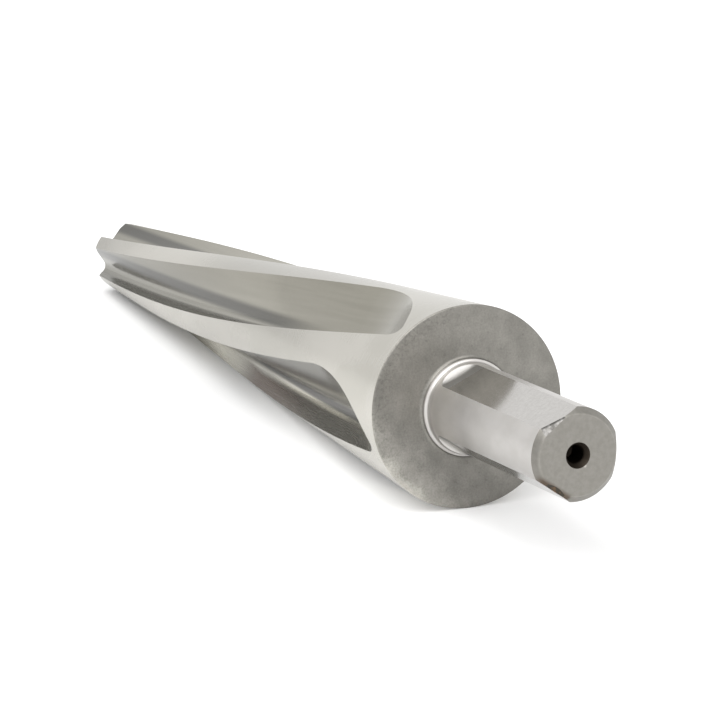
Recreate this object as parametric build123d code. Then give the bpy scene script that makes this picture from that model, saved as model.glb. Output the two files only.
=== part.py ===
"""A tapered hand and machine reamer, ground from one bar of high-speed steel.

The tool is drawn on the X axis first, with the shoulder face at X = 0, the fluted taper on
the negative side and the three-flat shank on the positive side. At the end it is laid on its
side as it would rest: on the lowest line of its taper, with the shank clear of the surface.
"""
import os
from math import atan, cos, degrees, radians, sin, sqrt, tan

from build123d import *

# Tapered cutting body, in millimetres
big_diameter = 28.575
body_length = 139.7
taper = 0.125  # diameter lost for each millimetre of length
shoulder_edge_break = 0.2
tip_chamfer = 0.8

# Flutes, as measured at the big end: their depth and width shrink with the taper
flute_count = 5
flute_lead = 625.0  # length of one full turn of the helix
flute_depth = 5.6
land_angle = 22.0
rake_angle = 2.0
root_chamfer = 1.1  # leg of the narrow flat at the bottom, which keeps its width to the tip
wheel_radius = 41.0  # the grinding wheel leaves this curve where each flute runs out
runout_gap = 1.8  # full-round steel left between a flute's end and the shoulder face
first_edge_angle = 40.1  # where the first cutting edge would meet the shoulder face

# Shank
shank_diameter = 12.7
shank_length = 34.5
shank_chamfer = 0.85
collar_diameter = 13.6  # small sharp-edged ring at the shank's root
collar_height = 0.55

# Three driving flats on the shank
flat_count = 3
flat_distance = 5.62  # from the tool's axis to each flat
flat_start = 3.1  # from the shoulder face to where the flats reach full depth
flat_end_radius = 1.9
first_flat_angle = 24.25

# Marks of the burrs ground off by hand at the outer ends of the first two flats: a slanted
# facet that widens towards one corner, and a round nick
burr_slope = 40.0
facet_near_width = -0.4  # on the end face, where a negative width misses the near corner
facet_far_width = 1.0
nick_radius = 5.3
nick_depth = 0.65
nick_offset = -0.2  # from the middle of its flat

# Centre holes in both ends
centre_mouth = 3.5
centre_pilot = 2.4
centre_depth = 4.2
centre_angle = 60.0
drill_point_angle = 118.0
tip_centre_mouth = 3.0
tip_centre_pilot = 1.6
tip_centre_depth = 3.4

# Room that each cutting solid has outside the steel
clear = 3.0

big_radius = big_diameter / 2
shank_radius = shank_diameter / 2
collar_radius = collar_diameter / 2
shank_fillet = collar_radius - shank_radius
taper_angle = degrees(atan(taper / 2))
flute_angle = 360 / flute_count - land_angle
flute_turn = radians(360 / flute_lead)  # turn of the helix for each millimetre of length
runout_length = sqrt(2 * wheel_radius * flute_depth - flute_depth**2)
runout_start = -(runout_gap + runout_length)
heel_lead = wheel_radius * flute_turn * big_radius * sin(radians(flute_angle))


def body_radius(x):
    """Radius of the taper at x, which is zero at the shoulder and negative towards the tip."""
    return big_radius + x * taper / 2


def edge_angle(x):
    """Angle of the first cutting edge about the axis at x, along the left-hand helix."""
    return first_edge_angle - degrees(flute_turn) * x


def plane_across(x, angle):
    """Plane square to the axis at x, whose own X points outward at the angle about it.

    The angle is zero straight up (+Z) and grows towards -Y.
    """
    outward = (0, -sin(radians(angle)), cos(radians(angle)))
    return Plane(origin=(x, 0, 0), x_dir=outward, z_dir=(1, 0, 0))


def turned_blank():
    """The blank before any flute or flat: taper, shoulder, collar and round shank."""
    tip_radius = body_radius(-body_length)
    start = (-body_length, 0)
    tip_edge = (-body_length, tip_radius - tip_chamfer)
    taper_start = (-body_length + tip_chamfer, body_radius(-body_length + tip_chamfer))
    taper_end = (-shoulder_edge_break, body_radius(-shoulder_edge_break))
    shoulder_edge = (0, big_radius - shoulder_edge_break)
    foot = (0, collar_radius + collar_height)
    collar_edge = (collar_height, collar_radius)
    shank_start = (collar_height + shank_fillet, shank_radius)
    chamfer_start = (shank_length - shank_chamfer, shank_radius)
    end_edge = (shank_length, shank_radius - shank_chamfer)
    end = (shank_length, 0)
    outline = Polyline(start, tip_edge, taper_start, taper_end, shoulder_edge, foot)
    outline += RadiusArc(foot, collar_edge, collar_height)
    outline += RadiusArc(collar_edge, shank_start, shank_fillet)
    outline += Polyline(shank_start, chamfer_start, end_edge, end, start)
    return revolve(make_face(outline), Axis.X)


def wheel_lift(past):
    """How far the wheel's rim has risen at a distance past the end of its full depth."""
    return wheel_radius - sqrt(wheel_radius**2 - max(past, 0) ** 2)


def flute_section(x):
    """Section of the space that one flute takes, square to the axis at x.

    A steep rake face runs from the cutting edge down to a narrow root, and a straight floor
    climbs from there to the heel. Where the wheel leaves the steel the floor rises, and it
    rises sooner at the heel, because the helix turns the heel up against the flat wheel.
    Local X points outward through the cutting edge.
    """
    radius = body_radius(x)
    depth = flute_depth * radius / big_radius
    lean = tan(radians(rake_angle))
    past = x - runout_start
    rake_way = Vector(1, -lean)
    edge = Vector(radius, 0)
    root = edge + rake_way * (wheel_lift(past) - depth)
    heel = Vector(radius * cos(radians(flute_angle)), -radius * sin(radians(flute_angle)))
    heel += rake_way * wheel_lift(past + heel_lead)
    floor_end = heel + (heel - root).normalized() * clear
    wall_end = edge + rake_way * (clear + flute_depth)
    outer_corner = Vector(wall_end.X, floor_end.Y)
    face = make_face(Polyline(root, floor_end, outer_corner, wall_end, close=True))
    root_vertex = face.vertices().sort_by_distance(root)[0]
    return plane_across(x, edge_angle(x)) * chamfer(root_vertex, root_chamfer)


def even_steps(start, end, count):
    """Evenly spaced values from start to end, both included."""
    return [start + (end - start) * i / count for i in range(count + 1)]


def flute_spaces():
    """The space of one flute in its two runs: the long helix, then the wheel's run-out."""
    rise_start = runout_start - heel_lead
    helix = even_steps(-(body_length + clear), rise_start, 7)
    runout = even_steps(rise_start, clear - runout_gap, 12)
    return [loft([flute_section(x) for x in stations]) for stations in (helix, runout)]


def flat_space(index):
    """The steel that one flat takes from the shank, with the wheel's curve at its inner end."""
    top = collar_radius + flat_end_radius
    low = (flat_start, flat_distance)
    high = (flat_start - flat_end_radius, flat_distance + flat_end_radius)
    outline = RadiusArc(low, high, flat_end_radius)
    outline += Polyline(high, (high[0], top + clear), (shank_length + clear, top + clear))
    outline += Polyline((shank_length + clear, top + clear), (shank_length + clear, flat_distance), low)
    side = Plane(origin=(0, 0, 0), x_dir=(1, 0, 0), z_dir=(0, -1, 0)) * make_face(outline)
    angle = first_flat_angle + 360 * index / flat_count
    return extrude(side, shank_diameter / 2, both=True).rotate(Axis.X, angle)


def burr_plane(index, near_width, far_width):
    """Plane of a slanted grind across the outer end of one flat.

    The widths say how far it reaches into the end face at the flat's two corners. Its own X
    runs along the flat's end, from the near corner to the far one, and its Z points outward.
    """
    half_flat = sqrt(shank_radius**2 - flat_distance**2)
    end_plane = plane_across(shank_length, first_flat_angle + 360 * index / flat_count)
    near = end_plane.from_local_coords(Vector(flat_distance - near_width, -half_flat, 0))
    far = end_plane.from_local_coords(Vector(flat_distance - far_width, half_flat, 0))
    along = (far - near).normalized()
    inward = along.cross(end_plane.z_dir).normalized()
    slope = radians(burr_slope)
    outward = end_plane.z_dir * cos(slope) + inward * sin(slope)
    return Plane(origin=(near + far) / 2, x_dir=along, z_dir=outward)


def end_facet():
    """The steel that the slanted facet takes from the first flat's outer end."""
    size = 2 * shank_diameter
    block = Box(size, size, clear, align=(Align.CENTER, Align.CENTER, Align.MIN))
    return burr_plane(0, facet_near_width, facet_far_width) * block


def end_nick():
    """The steel that the round nick takes from the second flat's outer end."""
    drum = Cylinder(nick_radius, 2 * clear, rotation=(90, 0, 0))
    return burr_plane(1, nick_depth, nick_depth) * Pos(nick_offset, 0, nick_radius) * drum


def centre_hole(mouth, pilot, depth):
    """A countersunk centre hole on the X axis, with its mouth at X = 0 and going into -X."""
    sink_depth = (mouth - pilot) / 2 / tan(radians(centre_angle / 2))
    point_depth = pilot / 2 / tan(radians(drill_point_angle / 2))
    outline = Polyline(
        (clear, 0),
        (clear, mouth / 2),
        (0, mouth / 2),
        (-sink_depth, pilot / 2),
        (-depth, pilot / 2),
        (-depth - point_depth, 0),
        close=True,
    )
    return revolve(make_face(outline), Axis.X)


def reamer_on_axis():
    """The finished tool on the X axis, with the shoulder face at X = 0."""
    tool = turned_blank()
    flute = flute_spaces()
    for i in range(flute_count):
        tool -= [run.rotate(Axis.X, 360 * i / flute_count) for run in flute]
    for i in range(flat_count):
        tool -= flat_space(i)
    tool -= end_facet()
    tool -= end_nick()
    tool -= Pos(shank_length, 0, 0) * centre_hole(centre_mouth, centre_pilot, centre_depth)
    tip_hole = centre_hole(tip_centre_mouth, tip_centre_pilot, tip_centre_depth)
    tool -= Pos(-body_length, 0, 0) * tip_hole.rotate(Axis.Z, 180)
    return tool


def laid_down(tool):
    """The tool resting on the lowest line of its taper, with its footprint centred."""
    resting = tool.rotate(Axis.Y, -taper_angle)
    resting = Pos(0, 0, big_radius * cos(radians(taper_angle))) * resting
    box = resting.bounding_box()
    return Pos(-box.center().X, -box.center().Y, 0) * resting


os.makedirs("parts", exist_ok=True)
taper_reamer = laid_down(reamer_on_axis())
export_step(taper_reamer, "parts/taper_reamer.step")
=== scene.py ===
from math import atan, cos, pi, radians, sin, sqrt, tan

import bmesh
import bpy
import numpy as np
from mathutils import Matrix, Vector


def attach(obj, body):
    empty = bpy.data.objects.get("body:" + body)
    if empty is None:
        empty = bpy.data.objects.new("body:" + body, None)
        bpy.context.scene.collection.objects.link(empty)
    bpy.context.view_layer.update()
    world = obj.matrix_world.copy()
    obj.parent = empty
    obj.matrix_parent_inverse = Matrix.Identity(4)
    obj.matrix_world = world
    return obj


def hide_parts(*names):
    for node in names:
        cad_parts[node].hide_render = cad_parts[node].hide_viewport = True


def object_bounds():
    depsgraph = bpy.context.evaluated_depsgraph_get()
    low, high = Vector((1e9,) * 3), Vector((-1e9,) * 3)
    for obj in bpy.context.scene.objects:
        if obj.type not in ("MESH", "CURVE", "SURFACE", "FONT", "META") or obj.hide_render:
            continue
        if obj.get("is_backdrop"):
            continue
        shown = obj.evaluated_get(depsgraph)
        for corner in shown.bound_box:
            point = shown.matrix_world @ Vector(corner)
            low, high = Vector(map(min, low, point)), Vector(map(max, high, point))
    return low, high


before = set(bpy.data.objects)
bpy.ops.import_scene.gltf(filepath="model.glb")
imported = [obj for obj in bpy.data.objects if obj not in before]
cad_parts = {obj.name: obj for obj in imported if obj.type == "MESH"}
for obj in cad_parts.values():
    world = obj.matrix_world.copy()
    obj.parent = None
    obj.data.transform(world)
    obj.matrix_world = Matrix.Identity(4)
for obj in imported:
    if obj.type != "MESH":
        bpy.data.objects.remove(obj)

cad_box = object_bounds()

# The view: a long lens in front of the shank and to its left, a little above the tool, looking
# down the tool towards its tip. Places are in metres, the lens and its sensor in millimetres.
camera_at = Vector((0.53583, -0.22207, 0.16026))
looking_at = Vector((0.04639, -0.01348, 0.02084))
lens = bpy.data.cameras.new("long_lens")
lens.lens = 200.53
lens.sensor_width = 36.0
lens.clip_start = 0.01
camera = bpy.data.objects.new("camera", lens)
camera.location = camera_at
camera.rotation_mode = "QUATERNION"
camera.rotation_quaternion = (looking_at - camera_at).to_track_quat("-Z", "Y")
bpy.context.scene.collection.objects.link(camera)
bpy.context.scene.camera = camera

# The tapered cutting body. It is one bar of high-speed steel, hardened, with five left-hand
# flutes cut by a wheel that rises out of the steel before the shoulder, and ground lands.
# Sizes are in millimetres on the tool's own axis, with the shoulder face at 0.
big_radius = 14.2875
body_length = 139.7
taper = 0.0625  # radius lost for each millimetre of length
tip_chamfer = 0.8
edge_break = 0.2
flute_count = 5
flute_lead = 625.0  # length of one full turn of the helix
flute_depth = 5.6
flute_angle = radians(50)
rake_lean = tan(radians(2))
root_radius = 1.3
wheel_radius = 41.0
runout_gap = 1.8  # fully round steel between a flute's end and the shoulder
first_edge_angle = radians(40.1)

flute_turn = radians(360 / flute_lead)  # turn of the helix for each millimetre of length
fifth_turn = 2 * pi / flute_count
wheel_run = sqrt(2 * wheel_radius * flute_depth - flute_depth**2)
runout_start = -(runout_gap + wheel_run)
heel_lead = wheel_radius * flute_turn * big_radius * sin(flute_angle)
tip = -body_length

# The tool rests on the lowest line of its taper, with its footprint's middle at the origin
tilt = atan(taper)
shoulder_at = 52.4744

# Steps round the tool: those of one land, floor, root and rake face make a fifth of a ring
land_steps, floor_steps, root_steps, wall_steps = 14, 14, 8, 6
fifth_steps = land_steps + floor_steps + root_steps + wall_steps
ring_steps = flute_count * fifth_steps
column = np.arange(ring_steps)


def edge_angle(x):
    """First cutting edge's angle at x: 40.1 degrees at the shoulder, 0.576 more per mm back."""
    return first_edge_angle - flute_turn * x


def wheel_lift(past):
    """Rise of the wheel's rim: w - sqrt(w^2 - p^2) at p past the end of the full depth.

    p is held 1 mm short of w, where the wheel has long left the steel.
    """
    return wheel_radius - np.sqrt(wheel_radius**2 - np.clip(past, 0, wheel_radius - 1) ** 2)


def flute_lines(x):
    """Root, rake direction and floor direction of a flute at x, as complex numbers.

    The real axis points outward through the cutting edge r. root = r + u (lift - depth), with
    u the rake direction, and the floor aims at r exp(-50 degrees) + u lift(further on).
    """
    radius = big_radius + taper * x
    stretch = abs(1 - 1j * rake_lean)
    rake = (1 - 1j * rake_lean) / stretch
    past = x - runout_start
    depth = flute_depth * radius / big_radius
    root = radius + rake * stretch * (wheel_lift(past) - depth)
    heel = radius * np.exp(-1j * flute_angle) + rake * stretch * wheel_lift(past + heel_lead)
    floor = (heel - root) / abs(heel - root)
    return root, rake, floor


def round_root(x):
    """Centre of a flute's round root at x, and the two points where it meets floor and rake.

    With a the half angle between them, centre = root + middle r / sin a and the feet are
    r / tan a away from the sharp root.
    """
    root, rake, floor = flute_lines(x)
    half = np.arccos((rake * np.conj(floor)).real) / 2
    centre = root + (rake + floor) / abs(rake + floor) * root_radius / np.sin(half)
    reach = root_radius / np.tan(half)
    return centre, root + floor * reach, root + rake * reach


def out_to_circle(start, way, circle):
    """Where the line start + t way leaves the circle: t = -b + sqrt(b^2 - |start|^2 + c^2)."""
    b = (start * np.conj(way)).real
    return start + way * (-b + np.sqrt(b**2 - abs(start) ** 2 + circle**2))


def between(a, b, steps):
    """Points a + (b - a) i / steps for i from 0 to steps - 1, along a new last axis."""
    return a[..., None] + (b - a)[..., None] * np.arange(steps) / steps


def fluted_rings(x, circle):
    """Sections of the fluted body at stations x, inside circles of the given radii.

    Each fifth of a ring is an arc of land, the straight floor, the round root and the straight
    rake face. Where a foot of the root lies outside the circle, the flute ends on the root
    itself, at centre + r exp(i (angle of centre -+ acos((circle^2 - |centre|^2 - r^2) /
    (2 |centre| r)))). The five copies are turned by 72 degrees, and each section by its edge
    angle.
    """
    root, rake, floor = flute_lines(x)
    centre, floor_foot, wall_foot = round_root(x)
    cosine = (circle**2 - abs(centre) ** 2 - root_radius**2) / (2 * abs(centre) * root_radius)
    open_half = np.arccos(np.clip(cosine, -1, 1))
    floor_out = centre + root_radius * np.exp(1j * (np.angle(centre) - open_half))
    wall_out = centre + root_radius * np.exp(1j * (np.angle(centre) + open_half))
    heel = np.where(abs(floor_foot) < circle, out_to_circle(root, floor, circle), floor_out)
    edge = np.where(abs(wall_foot) < circle, out_to_circle(root, rake, circle), wall_out)
    floor_foot = np.where(abs(floor_foot) < circle, floor_foot, floor_out)
    wall_foot = np.where(abs(wall_foot) < circle, wall_foot, wall_out)
    swing = np.angle((wall_foot - centre) / (floor_foot - centre))
    swung = np.exp(1j * between(0 * swing, swing, root_steps))
    land = between(np.angle(edge), np.angle(heel) + fifth_turn, land_steps)
    flute = np.concatenate(
        [
            between(heel, floor_foot, floor_steps),
            centre[:, None] + (floor_foot - centre)[:, None] * swung,
            between(wall_foot, edge, wall_steps),
        ],
        axis=1,
    )
    land = circle[:, None] * np.exp(1j * land)
    part = np.concatenate([land, flute * np.exp(1j * fifth_turn)], axis=1)
    turns = np.exp(1j * fifth_turn * np.arange(flute_count))
    ring = (part[:, None, :] * turns[None, :, None]).reshape(len(x), ring_steps)
    return ring * np.exp(1j * edge_angle(x))[:, None]


def closing_station():
    """The x where the wheel has left the steel: where |centre| - r reaches the taper's radius."""
    x = np.linspace(runout_start, 0, 2000)
    above = abs(round_root(x)[0]) - root_radius - (big_radius + taper * x)
    return np.interp(0, above, x)


def band(x, ring, finish):
    """Rings at stations x, as rows of complex points, and the finish that follows each ring."""
    x = np.atleast_1d(np.asarray(x, float))
    ring = np.broadcast_to(ring, (len(x), ring_steps)).astype(complex)
    return x, ring, np.broadcast_to(finish, (len(x), ring_steps)).astype(int)


class Wire:
    """A value in a bench's nodes. Arithmetic on wires adds the Math nodes that do it."""

    def __init__(self, bench, socket):
        self.bench = bench
        self.socket = socket

    def out(self, name):
        """Another output of the same node."""
        return Wire(self.bench, self.socket.node.outputs[name])

    def math(self, operation, *values):
        """A Math node on wires and numbers."""
        return self.bench.node("ShaderNodeMath", {"operation": operation}, dict(enumerate(values)))

    def __add__(self, other):
        return self.math("ADD", self, other)

    def __sub__(self, other):
        return self.math("SUBTRACT", self, other)

    def __mul__(self, other):
        return self.math("MULTIPLY", self, other)

    def __truediv__(self, other):
        return self.math("DIVIDE", self, other)

    def __abs__(self):
        return self.math("ABSOLUTE", self)

    def __round__(self):
        return self.math("ROUND", self)

    def __lt__(self, other):
        return self.math("LESS_THAN", self, other)

    def __radd__(self, other):
        return self.math("ADD", other, self)

    def __rsub__(self, other):
        return self.math("SUBTRACT", other, self)

    def __rmul__(self, other):
        return self.math("MULTIPLY", other, self)


class Bench:
    """A node tree and the one method that adds nodes to it."""

    def __init__(self, tree):
        self.tree = tree

    def node(self, kind, settings, inputs):
        """Adds a node, sets it, then feeds its sockets with numbers, tuples or wires."""
        node = self.tree.nodes.new(kind)
        for name, setting in settings.items():
            setattr(node, name, setting)
        for name, value in inputs.items():
            if isinstance(value, Wire):
                self.tree.links.new(value.socket, node.inputs[name])
            else:
                node.inputs[name].default_value = value
        return Wire(self, node.outputs[0])

    def step(self, low, high, value):
        """0 below low, 1 above high and a smooth step between."""
        fields = {"Value": value, "From Min": low, "From Max": high}
        return self.node("ShaderNodeMapRange", {"interpolation_type": "SMOOTHSTEP"}, fields)


class Finish(Bench):
    """One finish of the steel: a metal shader, fed by patterns in the tool's own millimetres."""

    def __init__(self, name):
        self.material = bpy.data.materials.new(name)
        self.material.use_nodes = True
        super().__init__(self.material.node_tree)
        self.shader = self.tree.nodes["Principled BSDF"]
        self.shader.inputs["Metallic"].default_value = 1.0

    def on_axis(self):
        """The point in millimetres on the tool's axis: the object's point turned back upright."""
        place = {
            "Vector": self.node("ShaderNodeTexCoord", {}, {}).out("Object"),
            "Location": (shoulder_at / 1000, 0, big_radius * cos(tilt) / 1000),
            "Rotation": (0, -tilt, 0),
            "Scale": (0.001, 0.001, 0.001),
        }
        return self.node("ShaderNodeMapping", {"vector_type": "TEXTURE"}, place)

    def vector(self, operation, *values):
        """Vector Math on wires and tuples."""
        return self.node("ShaderNodeVectorMath", {"operation": operation}, dict(enumerate(values)))

    def dot(self, point, way):
        """How far the point lies along a direction."""
        return self.vector("DOT_PRODUCT", point, way).out("Value")

    def along(self, point):
        """Millimetres along the tool, from the shoulder face towards the shank's end."""
        return self.dot(point, (1, 0, 0))

    def upward(self, point):
        """Millimetres above the tool's axis."""
        return self.dot(point, (0, 0, 1))

    def radius(self, point):
        """Distance from the tool's axis: the length of (0, y, z)."""
        return self.vector("LENGTH", self.vector("MULTIPLY", point, (0, 1, 1))).out("Value")

    def noise(self, point, scale, detail=3.0, roughness=0.5):
        """Cloudy noise from 0 to 1 whose cells are 1/scale millimetres across on each axis."""
        where = self.vector("MULTIPLY", point, scale)
        fields = {"Vector": where, "Scale": 1.0, "Detail": detail, "Roughness": roughness}
        return self.node("ShaderNodeTexNoise", {}, fields)

    def line(self, middle, half, value):
        """1 on the middle value, 0 beyond half on either side, with soft sides."""
        return 1 - self.step(0.3 * half, half, abs(value - middle))

    def mix(self, mask, first, second):
        """The first colour where the mask is 0, the second where it is 1."""
        fields = {0: mask, 6: first, 7: second}
        return self.node("ShaderNodeMix", {"data_type": "RGBA"}, fields).out(2)

    def shade(self, colour, amount):
        """A colour made lighter or darker by a factor."""
        fields = {0: colour, "Scale": amount}
        return self.node("ShaderNodeVectorMath", {"operation": "SCALE"}, fields)

    def apply(self, colour, roughness, height, bump_depth):
        """Feeds the shader, with a height in units of bump_depth millimetres."""
        fields = {"Strength": 1.0, "Distance": bump_depth / 1000, "Height": height}
        bump = self.node("ShaderNodeBump", {}, fields)
        for name, wire in (("Base Color", colour), ("Roughness", roughness), ("Normal", bump)):
            self.tree.links.new(wire.socket, self.shader.inputs[name])
        return self.material


finishes = []


def slot_of(material):
    """Puts a finish in the piece's next material slot and gives the slot's number."""
    finishes.append(material)
    return len(finishes) - 1


def ground_land():
    """Cylindrically ground steel: fine lines round the tool and broad cloudy patches.

    It is duller in a long stretch about the middle of the body, and towards the tip.
    """
    steel = Finish("ground_land")
    dark, light = (0.400, 0.386, 0.345, 1), (0.452, 0.436, 0.396, 1)
    point = steel.on_axis()
    along = steel.along(point)
    lines = steel.noise(point, (16.0, 0.12, 0.12))
    patches = steel.noise(point, (0.055, 0.12, 0.12), 2.0)
    cloud = steel.step(0.36, 0.64, patches)
    dull_middle = 0.20 * steel.line(-57, 44, along)
    clear_of_tip = 0.30 * steel.step(-139, -110, along)
    tone = steel.mix(cloud, dark, light)
    tone = steel.shade(tone, 0.73 + 0.04 * lines - dull_middle + clear_of_tip)
    return steel.apply(tone, 0.21 + 0.08 * lines + 0.05 * cloud, lines, bump_depth=0.0004)


# The wheel's path: hundreds of millimetres along the tool, and across each flute from its root
path_unit = 100.0
flute_spacing = 40.0  # added to the way across for each flute, to tell the flutes apart


def wheel_cut_flute():
    """Flutes cut along their length: streaks that follow the wheel, duller than the lands.

    A dark line of painted reflected shade runs along the roots, fading towards the shoulder, and
    the rake faces are painted darker as shade. Flute 0, the lowest as the tool lies, is stained
    brown on its rake face, and that brown is partly real stain and partly painted shade; the
    stained stretch of flute 0 is painted darker as shade, its floor most. Beside the stain its root
    has a painted shade line and a painted highlight line, with a painted lighter band on the floor
    beside them, and its heel side is painted darker and browner as shade. Flute 0 is painted
    lighter towards the tip, and flute 3, the uppermost, is painted lighter throughout. The way
    across a flute is 0 at its root, positive up the rake face and negative up the floor.
    """
    steel = Finish("wheel_cut_flute")
    dark, light = (0.236, 0.225, 0.186, 1), (0.263, 0.251, 0.210, 1)
    stain_and_shade_brown, heel_shade_brown = (0.040, 0.018, 0.003, 1), (0.050, 0.042, 0.015, 1)
    path = steel.node("ShaderNodeUVMap", {"uv_map": "wheel_path"}, {})
    path = steel.vector("MULTIPLY", path, (path_unit, path_unit, 1.0))
    split = steel.node("ShaderNodeSeparateXYZ", {}, {"Vector": path})
    along, run = split.out("X"), split.out("Y")
    flute = round(run / flute_spacing)
    across = run - flute_spacing * flute
    lowest = flute < 0.5
    uppermost = abs(flute - 3) < 0.5
    # Flute 0's stained stretch, which is also painted darker as shade
    stained_and_shaded = lowest * steel.step(-79, -66, along)
    rake = steel.step(1.3, 2.1, across - 0.8 * stained_and_shaded)
    floor = 1 - steel.step(-1.2, -0.2, across)

    # Patterns of the cut and of the stain
    streaks = steel.noise(path, (0.05, 4.5, 1.0), 4.0, 0.65)
    broad = steel.noise(path, (0.03, 0.55, 1.0), 2.0)
    chatter = steel.noise(path, (0.8, 0.05, 1.0), 2.0)
    blotch = steel.noise(path, (0.10, 0.8, 1.0), 3.0, 0.6)

    # Marks, each 1 or more on the mark and 0 away from it
    # A dark line along each root: painted reflected shade, fading towards the shoulder
    root_shade_reflection = steel.line(0.95 + 0.022 * along, 1.5, across) * (1 - steel.step(-60, -30, along))
    root_shade_reflection = root_shade_reflection * (1 - stained_and_shaded)
    crest = 2.72 + 0.015 * along
    # Painted shade along flute 0's root beside the stain
    root_shade_line = steel.line(crest - 0.9, 0.85, across) * stained_and_shaded
    # Painted highlights on flute 0: a line on the rake face by the root, and a band on the floor
    # beside it
    root_highlight_line = steel.line(crest, 0.6, across) * (0.35 + 1.6 * steel.step(-66, -44, along))
    root_highlight_line = root_highlight_line * (1 - 0.8 * steel.step(-30, -21, along))
    brightened = (root_highlight_line + 0.9 * steel.line(-1.2, 1.8, across)) * stained_and_shaded
    # Painted shade on flute 0's heel side: a line, and a darker brown band towards the heel
    heel_shade_line = steel.line(-4.4, 1.2, across) * stained_and_shaded
    heel_side_shade = (1 - steel.step(-4.4, -2.6, across)) * stained_and_shaded
    heel_side_shade = heel_side_shade * (1 - 0.7 * steel.step(-18, -4, along))
    stain_and_shade = rake * stained_and_shaded * (1 - 0.85 * steel.step(-62, -28, along)) * (0.8 + 0.4 * blotch)
    # Flute 0 is painted lighter towards the tip, as light
    lowest_tip_light = lowest * (1 - steel.step(-92, -72, along))
    clear_of_tip = 0.15 * steel.step(-140, -105, along) + 0.25 * steel.step(-110, -40, along)

    tone = steel.mix(steel.step(0.3, 0.7, broad), dark, light)
    tone = steel.shade(tone, 0.90 + 0.14 * streaks + 0.05 * chatter)
    tone = steel.shade(tone, (1 - 0.74 * root_shade_reflection) * (1 - 0.20 * heel_shade_line) * (1 - 0.72 * root_shade_line))
    # Flute 0's stained stretch is painted darker as shade, its floor most
    tone = steel.shade(tone, (0.60 + clear_of_tip) * (1 - (0.36 + 0.14 * floor) * stained_and_shaded))
    # Flute 3, the uppermost, is painted lighter as light
    tone = steel.shade(tone, 1 + brightened + 0.95 * lowest_tip_light + 0.4 * uppermost)
    # The rake faces are painted darker as shade
    tone = steel.shade(tone, 1 - rake * (0.20 + 0.08 * stained_and_shaded))
    # The brown on flute 0's rake face: partly real stain, partly painted shade
    tone = steel.mix(0.95 * stain_and_shade, tone, stain_and_shade_brown)
    tone = steel.mix(0.55 * heel_side_shade, tone, heel_shade_brown)
    height = (streaks + 0.25 * chatter) * (1 - 0.95 * rake)
    return steel.apply(tone, 0.14 + 0.12 * streaks + 0.08 * rake, height, bump_depth=0.003)


land = slot_of(ground_land())
cut = slot_of(wheel_cut_flute())
body_finish = np.where(column % fifth_steps < land_steps, land, cut)
closed = closing_station()
helix_rings, runout_rings = 80, 96
closing_gap = 0.02  # the last fluted ring stops this far short of where the flutes close
tip_edge_x = tip + np.array([0.0, 0.5]) * tip_chamfer
tip_edge_circle = big_radius + taper * tip_edge_x - tip_chamfer + (tip_edge_x - tip)
body_x = np.concatenate(
    [
        np.linspace(tip + tip_chamfer, runout_start - heel_lead, helix_rings)[:-1],
        np.linspace(runout_start - heel_lead, closed - closing_gap, runout_rings),
    ]
)
fluted_body = [
    band(tip_edge_x, fluted_rings(tip_edge_x, tip_edge_circle), body_finish),
    band(body_x, fluted_rings(body_x, big_radius + taper * body_x), body_finish),
]

# The round end of the body, between the flutes' ends and the shoulder. The wheel has left the
# steel there, so it is ground land all round, and the skin's columns spread out evenly along it.
round_rings = 13
closed_at = edge_angle(closed) + np.angle(round_root(closed)[0])
even_ring = closed_at + 2 * pi * column / ring_steps
unit_ring = np.exp(1j * even_ring)
fifth_column = np.minimum(column % fifth_steps, land_steps) / land_steps
closed_ring = closed_at + fifth_turn * (column // fifth_steps + fifth_column)
round_x = np.linspace(closed, -edge_break, round_rings)
spread = np.linspace(0, 1, round_rings)[:, None]
round_ring = np.exp(1j * (closed_ring + (even_ring - closed_ring) * spread))
round_body = [band(round_x, (big_radius + taper * round_x)[:, None] * round_ring, land)]

# The tip end, faced in the lathe, with the smaller of the two centre holes that the tool was
# ground between. Each has a 60 degree seat, a narrow pilot and the drill's 118 degree point.
tip_mouth, tip_pilot, tip_hole = 1.5, 0.8, 3.4
end_mouth, end_pilot, end_hole = 1.75, 1.2, 4.2
seat_half_angle, point_half_angle = radians(30), radians(59)
tip_face_rings = 4

# The shank's sizes and flats, because the faced finish is brightened along the edge of the
# shank's end, by wear and a painted highlight, and burnt brown beside the lower flat
shank_radius, shank_length, shank_chamfer = 6.35, 34.5, 0.85
end_edge = shank_radius - shank_chamfer
flat_distance = 5.62
first_flat_angle = radians(24.25)
third_turn = 2 * pi / 3


def out_from_axis(angle):
    """Direction away from the axis at an angle, which is 0 straight up and grows towards -Y."""
    return 0, -sin(angle), cos(angle)


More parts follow.
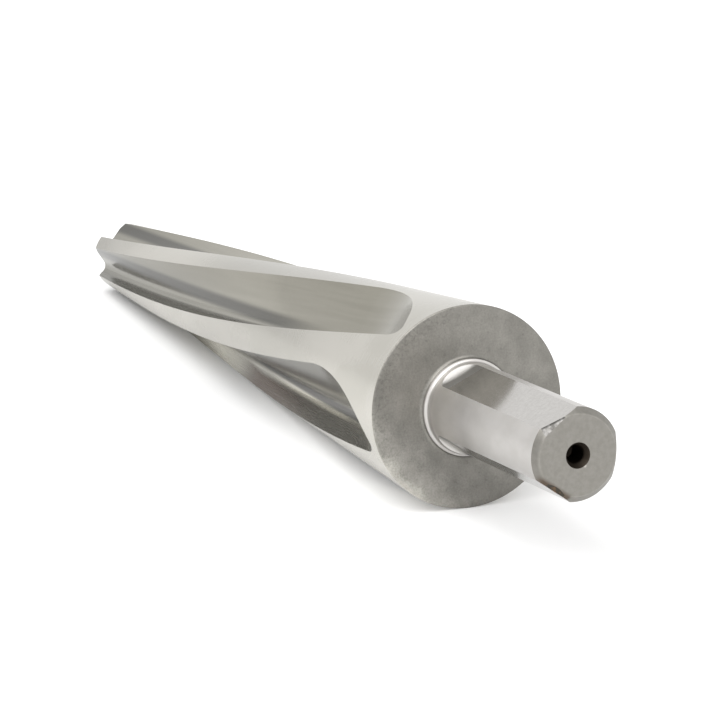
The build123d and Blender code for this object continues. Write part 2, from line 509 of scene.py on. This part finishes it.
def faced_end():
    """Faced in the lathe: satin, with fine rings and a bright line along the outer edge, part wear
    and part painted highlight, fainter on the left.

    A glint is painted on the larger centre hole's rim, the chamfer is painted darker on the left
    as shade, and the burn spreads inward from the lower flat's end.
    """
    steel = Finish("faced_end")
    dark, light = (0.222, 0.213, 0.192, 1), (0.256, 0.246, 0.225, 1)
    burn_brown = (0.085, 0.060, 0.042, 1)
    glint_at = (shank_length - 0.1, 1.0, -1.5)
    lower_flat = first_flat_angle + third_turn
    point = steel.on_axis()
    along, radius = steel.along(point), steel.radius(point)
    outward = steel.node("ShaderNodeCombineXYZ", {}, {"X": radius})
    rings = steel.noise(outward, (7.0, 1.0, 1.0), 2.0)
    mottle = steel.noise(point, (1.3, 1.3, 1.3), 4.0, 0.65)
    left = steel.step(0, 4, steel.dot(point, (0, -1, 0)))
    # The chamfer is painted darker on the left as shade
    shaded_left_chamfer = left * (1 - steel.step(shank_length - 0.3, shank_length - 0.1, along))
    # A bright line along the outer edge: part wear, part painted highlight, fainter on the left
    brightened = steel.line(end_edge, 0.13, radius) * (0.4 + 0.6 * mottle) * (1 - 0.6 * left)
    # A painted glint on the larger centre hole's rim
    glint = 1 - steel.step(0.1, 0.3, steel.vector("DISTANCE", point, glint_at).out("Value"))
    tone = steel.mix(steel.step(0.3, 0.7, mottle), dark, light)
    tone = steel.shade(tone, 0.97 + 0.06 * rings + 0.22 * brightened + 0.9 * glint - 0.16 * shaded_left_chamfer)
    inward = flat_distance - steel.dot(point, out_from_axis(lower_flat))
    beside = steel.dot(point, out_from_axis(lower_flat + pi / 2)) + 1.2 * (mottle - 0.5)
    burn = (1 - steel.step(0.25, 1.05, inward)) * steel.step(-3.7, -2.2, beside)
    burn = burn * (1 - steel.step(1.9, 2.4, beside))
    burn = burn * steel.step(shank_length - 1.5, shank_length - 0.2, along)
    tone = steel.mix(0.88 * burn, tone, burn_brown)
    return steel.apply(tone, 0.33 + 0.10 * mottle, rings + 0.4 * mottle, bump_depth=0.003)


def drilled_hole():
    """The centre holes' walls: painted dark as shade, with the drill's rings, and painted black as
    deeper shade where they go deep.
    """
    steel = Finish("drilled_hole")
    # The walls' dark tones are painted shade
    dark, light = (0.048, 0.038, 0.029, 1), (0.078, 0.065, 0.052, 1)
    point = steel.on_axis()
    rings = steel.noise(point, (6.0, 0.3, 0.3), 2.0)
    # Inside the pilot's radius the walls are painted darker still as deeper shade
    seat = steel.step(end_pilot, end_pilot + 0.15, steel.radius(point))
    tone = steel.shade(steel.mix(rings, dark, light), 0.45 + 0.55 * seat)
    return steel.apply(tone, 0.45 + 0.1 * rings, rings, bump_depth=0.01)


def hole_profile(mouth, pilot, depth):
    """Depth and radius of a centre hole's rings from its point outward, without its mouth.

    The point is pilot / tan 59 deeper than the pilot, and the seat (mouth - pilot) / tan 30 deep.
    """
    point = pilot / tan(point_half_angle)
    seat = (mouth - pilot) / tan(seat_half_angle)
    return [(depth + point, 0), (depth, pilot), (seat, pilot)]


faced = slot_of(faced_end())
drilled = slot_of(drilled_hole())
tip_ring = np.exp(1j * (edge_angle(tip) + 2 * pi * column / ring_steps))
tip_circle = big_radius + taper * tip - tip_chamfer
tip_outline = fluted_rings(np.array([tip]), np.array([tip_circle]))[0]
outward = np.linspace(0, 1, tip_face_rings + 1)[:-1, None]
tip_face = tip_mouth * tip_ring * (1 - outward) + tip_outline * outward
tip_profile = hole_profile(tip_mouth, tip_pilot, tip_hole)
tip_end = [band(tip + depth, radius * tip_ring, drilled) for depth, radius in tip_profile]
tip_end.append(band(np.full(len(outward), tip), tip_face, faced))

# The shoulder face: turned flat and left as it came from hardening, dull and blotched, with a
# rounded rim that is scuffed bright and has a painted highlight on one side, and a hollow turn
# round the shank's ring.
collar_radius, collar_height = 6.8, 0.55
rim_radius = big_radius - taper * edge_break - edge_break
rim_rings, shoulder_rings, hollow_rings = 5, 6, 9
dull_hollow_rings = 6  # the outer hollow is dull like the face up to here, then ground bright


def dull_shoulder():
    """A turned face with a dull skin: clouds, dark specks and a fine grain.

    Pits lie along the rim on the left, and the rim is scuffed bright at the lower left, with a
    painted highlight at its edge there. The face is painted lighter towards the top and darker
    towards the bottom, as light and shade.
    """
    steel = Finish("dull_shoulder")
    dark, light = (0.200, 0.193, 0.175, 1), (0.235, 0.227, 0.207, 1)
    pitted_way, painted_light_way = (0, -0.9, 0.3), (0, -0.002, 0.006)
    point = steel.on_axis()
    grain = steel.noise(point, (3.6, 3.6, 3.6), 3.0, 0.6)
    clouds = steel.noise(point, (0.32, 0.32, 0.32), 4.0, 0.6)
    specks = steel.step(0.60, 0.70, steel.noise(point, (1.1, 1.1, 1.1), 3.0, 0.6))
    pits = steel.step(0.50, 0.62, steel.noise(point, (1.7, 1.7, 1.7), 3.0, 0.6))
    pits = pits * steel.step(11.2, 13.2, steel.radius(point))
    pits = pits * steel.step(1, 10, steel.dot(point, pitted_way))
    lower_left = steel.dot(point, out_from_axis(radians(135)))
    scuff_and_highlight_reach = lower_left + 1.8 * (clouds - 0.5) + 1.4 * (grain - 0.5)
    # Scuffed bright towards the lower left, with a painted highlight on the rim there
    scuff_and_rim_highlight = 0.56 * steel.step(8.0, 13.4, scuff_and_highlight_reach) + 0.60 * steel.step(12.6, 14.0, scuff_and_highlight_reach)
    tone = steel.mix(steel.step(0.3, 0.7, grain), dark, light)
    # Painted lighter towards the top and darker towards the bottom, as light and shade
    tone = steel.shade(tone, 0.60 + 0.76 * clouds + steel.dot(point, painted_light_way))
    tone = steel.shade(tone, (1 - 0.16 * specks) * (1 - 0.18 * pits))
    tone = steel.shade(tone, 1 + scuff_and_rim_highlight)
    return steel.apply(tone, 0.36 + 0.12 * grain, grain + 0.6 * clouds, bump_depth=0.006)


def ground_shank():
    """The shank and the ring at its foot: ground bright, with fine lines round it, and painted
    lighter as light near the foot, more so below, and on its upper side."""
    steel = Finish("ground_shank")
    dark, light = (0.480, 0.464, 0.444, 1), (0.522, 0.506, 0.488, 1)
    point = steel.on_axis()
    along = steel.along(point)
    lines = steel.noise(point, (14.0, 0.2, 0.2))
    patches = steel.noise(point, (0.22, 0.35, 0.35))
    foot = (0.3 + 0.7 * steel.step(1.0, 2.2, along)) * (1 - steel.step(4.5, 13.0, along))
    upper = steel.step(-3.0, 3.5, steel.upward(point))
    # Near the foot the shank is painted lighter as light, more so below
    painted_foot_light = (0.95 - 0.49 * upper) * foot
    tone = steel.mix(steel.step(0.35, 0.65, patches), dark, light)
    # The upper side is painted lighter as light
    tone = steel.shade(tone, (0.97 + 0.05 * lines + painted_foot_light) * (0.74 + 0.26 * upper))
    return steel.apply(tone, 0.33 + 0.10 * lines, lines, bump_depth=0.0015)


def hollow_turn(foot_x, centre_radius, hollow, chosen):
    """The chosen rings of a quarter-round hollow: x = foot + h + h cos a, radius = c + h sin a.

    h is the hollow's radius, c that of the circle round which it runs, and a goes from 180 to
    270 degrees.
    """
    turn = np.linspace(pi, 3 * pi / 2, hollow_rings)[chosen, None]
    x = foot_x + hollow + hollow * np.cos(turn)
    return x[:, 0], (centre_radius + hollow * np.sin(turn)) * unit_ring


dull = slot_of(dull_shoulder())
bright = slot_of(ground_shank())
rim_turn = np.linspace(0, pi / 2, rim_rings + 1)[1:, None]
rim_x = -edge_break + edge_break * np.sin(rim_turn)
hollow_edge = collar_radius + collar_height
shoulder_radius = np.linspace(rim_radius, hollow_edge, shoulder_rings + 2)[1:-1, None]
outer_hollow = (0.0, hollow_edge, collar_height)
shoulder = [
    band(rim_x[:, 0], (rim_radius + edge_break * np.cos(rim_turn)) * unit_ring, dull),
    band(np.zeros(len(shoulder_radius)), shoulder_radius * unit_ring, dull),
    band(*hollow_turn(*outer_hollow, slice(0, dull_hollow_rings)), dull),
    band(*hollow_turn(*outer_hollow, slice(dull_hollow_rings, hollow_rings)), bright),
]

# The shank: round, above a small sharp ring, with three flats whose inner ends keep the curve
# of the wheel. The round part is ground in a cylindrical grinder, the flats on a surface
# grinder, which leaves them close to a mirror.
flat_start, flat_end_radius = 3.1, 1.9

# Steps round the shank: those of one flat and one arc make a third of a ring. The shift brings
# each flat's columns to where the even rings have them, so that the skin doesn't twist.
flat_steps, third_steps = 34, 70
column_shift = 27
flat_column = column + column_shift
third, along_third = flat_column // third_steps, flat_column % third_steps
in_flat = (along_third < flat_steps)[None, :]


def flatted_rings(distance, radius):
    """Circles of a radius cut by three chords at a distance from the axis.

    Along a chord the points are d + i h t, with h = sqrt(r^2 - d^2) and t from -1 to 1, and
    along an arc they are r exp(i angle). Each third is turned by 120 degrees.
    """
    distance, radius = np.broadcast_arrays(distance, radius)
    distance, radius = distance[:, None], radius[:, None]
    half = np.sqrt(np.maximum(radius**2 - distance**2, 0))
    chord = np.minimum(distance, radius) + 1j * half * (2 * along_third / flat_steps - 1)
    corner = np.arctan2(half, np.minimum(distance, radius))
    run = (along_third - flat_steps) / (third_steps - flat_steps)
    arc = radius * np.exp(1j * (corner + run * (third_turn - 2 * corner)))
    return np.where(in_flat, chord, arc) * np.exp(1j * (first_flat_angle + third_turn * third))


def ground_flat():
    """The driving flats: nearly a mirror, painted darker as shade towards the shoulder and on
    their lower side, with slanted scratches.
    """
    steel = Finish("ground_flat")
    dark, light = (0.43, 0.416, 0.399, 1), (0.475, 0.461, 0.443, 1)
    scratch_axis = (0.6, 0.5, -0.6)
    point = steel.on_axis()
    slant = steel.vector("CROSS_PRODUCT", point, scratch_axis)
    scratches = steel.noise(slant, (0.5, 3.0, 0.5), 3.0, 0.6)
    speckle = steel.noise(point, (2.2, 2.2, 2.2), 4.0, 0.6)
    outer = steel.step(3.5, 14.0, steel.along(point))
    upper = steel.step(-3.0, 1.0, steel.upward(point))
    tone = steel.mix(steel.step(0.3, 0.7, speckle), dark, light)
    # Painted darker towards the shoulder as shade
    tone = steel.shade(tone, 0.68 + 0.32 * outer + 0.14 * (scratches - 0.5))
    # Painted darker on the lower side as shade
    tone = steel.shade(tone, 0.80 + 0.20 * upper)
    return steel.apply(tone, 0.07 + 0.09 * speckle, 0.6 * scratches + speckle, bump_depth=0.0012)


def wheel_rounded():
    """The flats' curved inner ends, where the wheel's worn rim left a soft satin, with a painted
    highlight in the shape of a lens, painted darker towards the flat and lighter below."""
    steel = Finish("wheel_rounded")
    dark, light = (0.44, 0.429, 0.412, 1), (0.53, 0.518, 0.502, 1)
    point = steel.on_axis()
    speckle = steel.noise(point, (2.5, 2.5, 2.5), 3.0, 0.6)
    toward_flat = steel.along(point) + 0.9 * (steel.radius(point) - flat_distance)
    # Beyond the lens-shaped painted highlight, towards the flat, the satin is painted darker
    beyond_lens = steel.step(2.65, 3.3, toward_flat)
    # The lower side is painted lighter as light
    lower = 1 - steel.step(-3.0, 0.0, steel.upward(point))
    tone = steel.mix(speckle, dark, light)
    tone = steel.shade(tone, (1 - 0.46 * beyond_lens) * (1 + 0.35 * lower))
    return steel.apply(tone, 0.40 + 0.10 * speckle, speckle, bump_depth=0.003)


flat = slot_of(ground_flat())
rounded = slot_of(wheel_rounded())
shank_hollow = collar_radius - shank_radius
shank_foot = collar_height + shank_hollow
flat_rise = shank_radius - flat_distance
flat_tip = flat_start - sqrt(flat_end_radius**2 - (flat_end_radius - flat_rise) ** 2)
shut_run = np.maximum(along_third - flat_steps, 0) / (third_steps - flat_steps)
shut_ring = first_flat_angle + third_turn * (third + shut_run)
foot_rings, flat_end_rings, flat_rings = 8, 22, 18
foot_x = np.linspace(shank_foot, flat_tip, foot_rings + 2)[1:-1]
foot_spread = np.linspace(0, 1, foot_rings + 2)[1:-1, None]
foot_ring = np.exp(1j * (even_ring + (shut_ring - even_ring) * foot_spread))
runout_x = flat_tip + (flat_start - flat_tip) * np.linspace(0, 1, flat_end_rings) ** 2
runout_lift = flat_end_radius - np.sqrt(flat_end_radius**2 - (flat_start - runout_x) ** 2)
runout_ring = flatted_rings(flat_distance + runout_lift, shank_radius)
shank_x = np.linspace(flat_start, shank_length - shank_chamfer, flat_rings + 2)[1:-1]
shank_ring = flatted_rings(np.full(len(shank_x), flat_distance), shank_radius)
shank_turn = hollow_turn(collar_height, collar_radius, shank_hollow, slice(0, hollow_rings))
shank = [
    band(*shank_turn, bright),
    band(foot_x, shank_radius * foot_ring, bright),
    band(runout_x, runout_ring, np.where(in_flat, rounded, bright)),
    band(shank_x, shank_ring, np.where(in_flat, flat, bright)),
]

# The shank's end: chamfered and faced like the tip, with the larger of the two centre holes.
# Each flat ends where the chamfer has come in as far as the flat, and the rings are round again.
chamfer_rings, rounding_rings, end_face_rings = 9, 4, 10
chamfer_run = flat_rise * (1 - (1 - np.linspace(0, 1, chamfer_rings)) ** 2)
chamfer_x = shank_length - shank_chamfer + chamfer_run
chamfer_distance = np.full(len(chamfer_run), flat_distance)
chamfer_ring = flatted_rings(chamfer_distance, shank_radius - chamfer_run)
end_spread = np.linspace(0, 1, rounding_rings + 1)[1:, None]
end_x = chamfer_x[-1] + (shank_length - chamfer_x[-1]) * end_spread
end_angle = shut_ring + (even_ring - shut_ring) * end_spread
end_ring = (shank_radius + shank_length - shank_chamfer - end_x) * np.exp(1j * end_angle)
end_radius = np.linspace(end_edge, end_mouth, end_face_rings + 2)[1:-1, None]
end_profile = [(0, end_mouth), *reversed(hole_profile(end_mouth, end_pilot, end_hole))]
shank_end = [
    band(chamfer_x, chamfer_ring, np.where(in_flat, flat, faced)),
    band(end_x[:, 0], end_ring, faced),
    band(np.full(len(end_radius), shank_length), end_radius * unit_ring, faced),
]
shank_end += [band(shank_length - depth, radius * unit_ring, drilled) for depth, radius in end_profile]

# One closed skin over all the rings, laid on its side as the tool rests. Its map for the
# flutes' finish gives millimetres along the tool, and across the flute from its root.


def laid_down(x, across, up):
    """Axis millimetres to floor metres: turned by the taper's tilt and raised to rest on it."""
    along = x * cos(tilt) - up * sin(tilt) + shoulder_at
    height = x * sin(tilt) + up * cos(tilt) + big_radius * cos(tilt)
    return np.stack([along, across, height], axis=-1) / 1000


def flute_across(x):
    """Millimetres across each flute from its root, at both sides of each column.

    They are the running sum of the section's steps, less its value where the root starts, plus
    the flutes' spacing times the number of the flute.
    """
    ring = fluted_rings(x, big_radius + taper * x)
    step = abs(np.roll(ring, -1, axis=1) - ring)
    step[:, column % fifth_steps < land_steps] = 0
    run = np.cumsum(step.reshape(len(x), flute_count, fifth_steps), axis=2)
    start = run - step.reshape(run.shape)
    from_root = start[:, :, land_steps + floor_steps, None]
    number = flute_spacing * np.arange(flute_count)[None, :, None]
    return [(edge - from_root + number).reshape(len(x), ring_steps) for edge in (start, run)]


rings = tip_end + fluted_body + round_body + shoulder + shank + shank_end
skin_x = np.concatenate([block[0] for block in rings])
skin_ring = np.concatenate([block[1] for block in rings])
skin_finish = np.concatenate([block[2] for block in rings])
rows = len(skin_x)
corners = laid_down(skin_x[:, None] + 0 * skin_ring.real, -skin_ring.imag, skin_ring.real)
number = np.arange(rows * ring_steps).reshape(rows, ring_steps)
following = np.roll(number, -1, axis=1)
quads = np.stack([number[:-1], following[:-1], following[1:], number[1:]], axis=-1)

reamer_mesh = bpy.data.meshes.new("reamer")
reamer_mesh.from_pydata(corners.reshape(-1, 3), [], quads.reshape(-1, 4))
reamer_mesh.polygons.foreach_set("material_index", skin_finish[:-1].reshape(-1))
wheel_path = reamer_mesh.uv_layers.new(name="wheel_path")
across_start = np.zeros((rows, ring_steps))
across_end = np.zeros((rows, ring_steps))
tip_rows = sum(len(block[0]) for block in tip_end)
fluted_rows = sum(len(block[0]) for block in fluted_body)
fluted = slice(tip_rows, tip_rows + fluted_rows)
across_start[fluted], across_end[fluted] = flute_across(skin_x[fluted])
along = skin_x[:, None] + 0 * across_start
start_side, end_side = (np.stack([along, side], axis=-1) for side in (across_start, across_end))
path = np.stack([start_side[:-1], end_side[:-1], end_side[1:], start_side[1:]], axis=2)
wheel_path.data.foreach_set("uv", (path / path_unit).reshape(-1))

# Burrs were ground off by hand at the outer ends of two flats: a slanted facet, cut here by a
# plane, and a round nick, cut by a drum. Both are still in the tool's axis millimetres.
burr_slope = radians(40)
facet_near, facet_far = -0.4, 1.0
nick_radius, nick_depth, nick_offset = 5.3, 0.65, -0.2
drum_half_length, drum_sides = 3.0, 160


def burr_frame(flat_number, near_width, far_width):
    """Middle, side, depth and outward directions of a slanted grind on a flat's outer end.

    The side runs from the flat's near corner (d - near - i h) to its far one (d - far + i h),
    and outward = axis cos 40 + radial sin 40.
    """
    half_flat = sqrt(shank_radius**2 - flat_distance**2)
    turn = np.exp(1j * (first_flat_angle + flat_number * third_turn))
    near = (flat_distance - near_width - 1j * half_flat) * turn
    far = (flat_distance - far_width + 1j * half_flat) * turn
    ends = [np.array([shank_length, -end.imag, end.real]) for end in (near, far)]
    side = (ends[1] - ends[0]) / np.linalg.norm(ends[1] - ends[0])
    axis = np.array([1.0, 0.0, 0.0])
    radial = np.cross(side, axis)
    out = axis * cos(burr_slope) + radial * sin(burr_slope)
    return (ends[0] + ends[1]) / 2, side, np.cross(out, side), out


def drum(middle, side, depth, out):
    """A drum lying on a plane: middle + r sin a side + r (1 - cos a) out + t depth."""
    turn = 2 * pi * np.arange(drum_sides) / drum_sides
    rim = middle + nick_radius * np.outer(np.sin(turn), side)
    rim = rim + nick_radius * np.outer(1 - np.cos(turn), out)
    points = np.concatenate([rim - drum_half_length * depth, rim + drum_half_length * depth])
    near, far = np.arange(drum_sides), np.arange(drum_sides) + drum_sides
    sides = np.stack([near, far, np.roll(far, -1), np.roll(near, -1)], axis=1)
    return points, [*sides.tolist(), near.tolist(), far[::-1].tolist()]


def hand_ground_facet():
    """The facet left by a hand grinder: coarse and patchy, with a dark burr along its top."""
    steel = Finish("hand_ground_facet")
    dark, light = (0.13, 0.125, 0.117, 1), (0.29, 0.282, 0.27, 1)
    point = steel.on_axis()
    scratches = steel.noise(point, (3.0, 9.0, 1.5), 4.0, 0.7)
    patches = steel.noise(point, (1.6, 1.6, 1.6), 3.0, 0.6)
    outward = steel.dot(point, out_from_axis(first_flat_angle))
    burr = steel.step(flat_distance - 0.26, flat_distance - 0.12, outward)
    tone = steel.mix(steel.step(0.35, 0.65, patches), dark, light)
    tone = steel.shade(tone, (0.80 + 0.4 * scratches) * (1 - 0.6 * burr))
    return steel.apply(tone, 0.30 + 0.2 * scratches, scratches, bump_depth=0.03)


def burnt_nick():
    """The nick, burnt brown and straw by the grinder's heat."""
    steel = Finish("burnt_nick")
    brown, straw = (0.060, 0.054, 0.044, 1), (0.17, 0.105, 0.062, 1)
    point = steel.on_axis()
    scratches = steel.noise(point, (2.5, 6.0, 2.0), 4.0, 0.7)
    heat = steel.noise(point, (0.8, 0.8, 0.8), 2.0)
    tone = steel.mix(steel.step(0.45, 0.62, heat), brown, straw)
    tone = steel.shade(tone, 0.7 + 0.6 * scratches)
    return steel.apply(tone, 0.35 + 0.2 * scratches, scratches, bump_depth=0.03)


facet_slot = slot_of(hand_ground_facet())
nick_slot = slot_of(burnt_nick())
skin = bmesh.new()
skin.from_mesh(reamer_mesh)
bmesh.ops.remove_doubles(skin, verts=skin.verts, dist=1e-8)
facet_at, _, _, facet_out = burr_frame(0, facet_near, facet_far)
facet_plane = laid_down(*facet_at)
ground = bmesh.ops.bisect_plane(
    skin,
    geom=[*skin.verts, *skin.edges, *skin.faces],
    dist=1e-9,
    plane_co=facet_plane,
    plane_no=laid_down(*(facet_at + facet_out)) - facet_plane,
    clear_outer=True,
)
ground_edges = [part for part in ground["geom_cut"] if isinstance(part, bmesh.types.BMEdge)]
for face in bmesh.ops.holes_fill(skin, edges=ground_edges, sides=0)["faces"]:
    face.material_index = facet_slot
skin.to_mesh(reamer_mesh)
skin.free()
reamer_mesh.shade_smooth()

nick_at, nick_side, nick_way, nick_out = burr_frame(1, nick_depth, nick_depth)
nick_at = nick_at + nick_offset * nick_side
drum_points, drum_faces = drum(nick_at, nick_side, nick_way, nick_out)
drum_mesh = bpy.data.meshes.new("nick_drum")
drum_mesh.from_pydata(laid_down(*drum_points.T), [], drum_faces)
drum_mesh.polygons.foreach_set("material_index", np.full(len(drum_faces), nick_slot))
for material in finishes:
    reamer_mesh.materials.append(material)
    drum_mesh.materials.append(material)
reamer = bpy.data.objects.new("reamer", reamer_mesh)
nick_drum = bpy.data.objects.new("nick_drum", drum_mesh)
bpy.context.scene.collection.objects.link(reamer)
bpy.context.scene.collection.objects.link(nick_drum)
nick = reamer.modifiers.new("nick", "BOOLEAN")
nick.operation = "DIFFERENCE"
nick.solver = "EXACT"
nick.object = nick_drum
bpy.context.view_layer.update()
nicked = reamer.evaluated_get(bpy.context.evaluated_depsgraph_get())
cut_mesh = bpy.data.meshes.new_from_object(nicked)
reamer.modifiers.remove(nick)
reamer.data = cut_mesh
cut_mesh.name = "reamer"
bpy.data.objects.remove(nick_drum)
cut_mesh.set_sharp_from_angle(angle=radians(20))

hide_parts("taper_reamer")
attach(reamer, "root")

# The studio: a white floor, large soft lights on the left and in front, and white walls all
# round. The floor glows a little beside the shoulder, where the photo's shadow is faint. Sizes
# are in metres.
floor_half = 4.0
glow_at, glow_near, glow_far = (0.040, -0.050, 0.0), 0.03, 0.075
near_glow, far_glow = (0.24, 0.24, 0.24, 1), (0.05, 0.05, 0.05, 1)
floor_mesh = bpy.data.meshes.new("floor")
floor_signs = ((-1, -1), (1, -1), (1, 1), (-1, 1))
floor_corners = [(floor_half * x, floor_half * y, 0) for x, y in floor_signs]
floor_mesh.from_pydata(floor_corners, [], [(0, 1, 2, 3)])
floor = bpy.data.objects.new("floor", floor_mesh)
bpy.context.scene.collection.objects.link(floor)
white = Finish("lit_white_floor")
white.shader.inputs["Metallic"].default_value = 0.0
white.shader.inputs["Base Color"].default_value = (0.82, 0.82, 0.82, 1)
white.shader.inputs["Roughness"].default_value = 0.9
white.shader.inputs["Emission Strength"].default_value = 1.0
spot = white.node("ShaderNodeTexCoord", {}, {}).out("Object")
reach = white.vector("DISTANCE", spot, glow_at).out("Value")
lit = white.mix(white.step(glow_near, glow_far, reach), near_glow, far_glow)
white.tree.links.new(lit.socket, white.shader.inputs["Emission Color"])
floor_mesh.materials.append(white.material)
floor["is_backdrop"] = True


def softbox(name, place, size, energy):
    """A square light panel in metres and watts, turned towards the tool."""
    panel = bpy.data.lights.new(name, "AREA")
    panel.shape = "SQUARE"
    panel.size = size
    panel.energy = energy
    box = bpy.data.objects.new(name, panel)
    box.location = place
    box.rotation_mode = "QUATERNION"
    box.rotation_quaternion = Vector(place).to_track_quat("Z", "Y")
    bpy.context.scene.collection.objects.link(box)


softbox("left_softbox", place=(0.16, -0.60, 1.03), size=1.0, energy=9.0)
softbox("front_softbox", place=(0.95, 0.05, 0.90), size=0.9, energy=5.0)

wall_glow, ceiling_loss = 1.2, 0.15  # the ceiling glows that much less than the walls
world = bpy.data.worlds.new("white_studio")
world.use_nodes = True
room = Bench(world.node_tree)
way = room.node("ShaderNodeTexCoord", {}, {}).out("Generated")
way = room.node("ShaderNodeSeparateXYZ", {}, {"Vector": way})
glow = wall_glow - ceiling_loss * room.step(0.35, 0.85, way.out("Z"))
backdrop = world.node_tree.nodes["Background"]
backdrop.inputs["Color"].default_value = (1, 1, 1, 1)
world.node_tree.links.new(glow.socket, backdrop.inputs["Strength"])
bpy.context.scene.world = world
bpy.context.scene.view_settings.view_transform = "Standard"

sizes = {
    "cad": [list(corner) for corner in cad_box],
    "visual": [list(corner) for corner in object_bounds()],
}
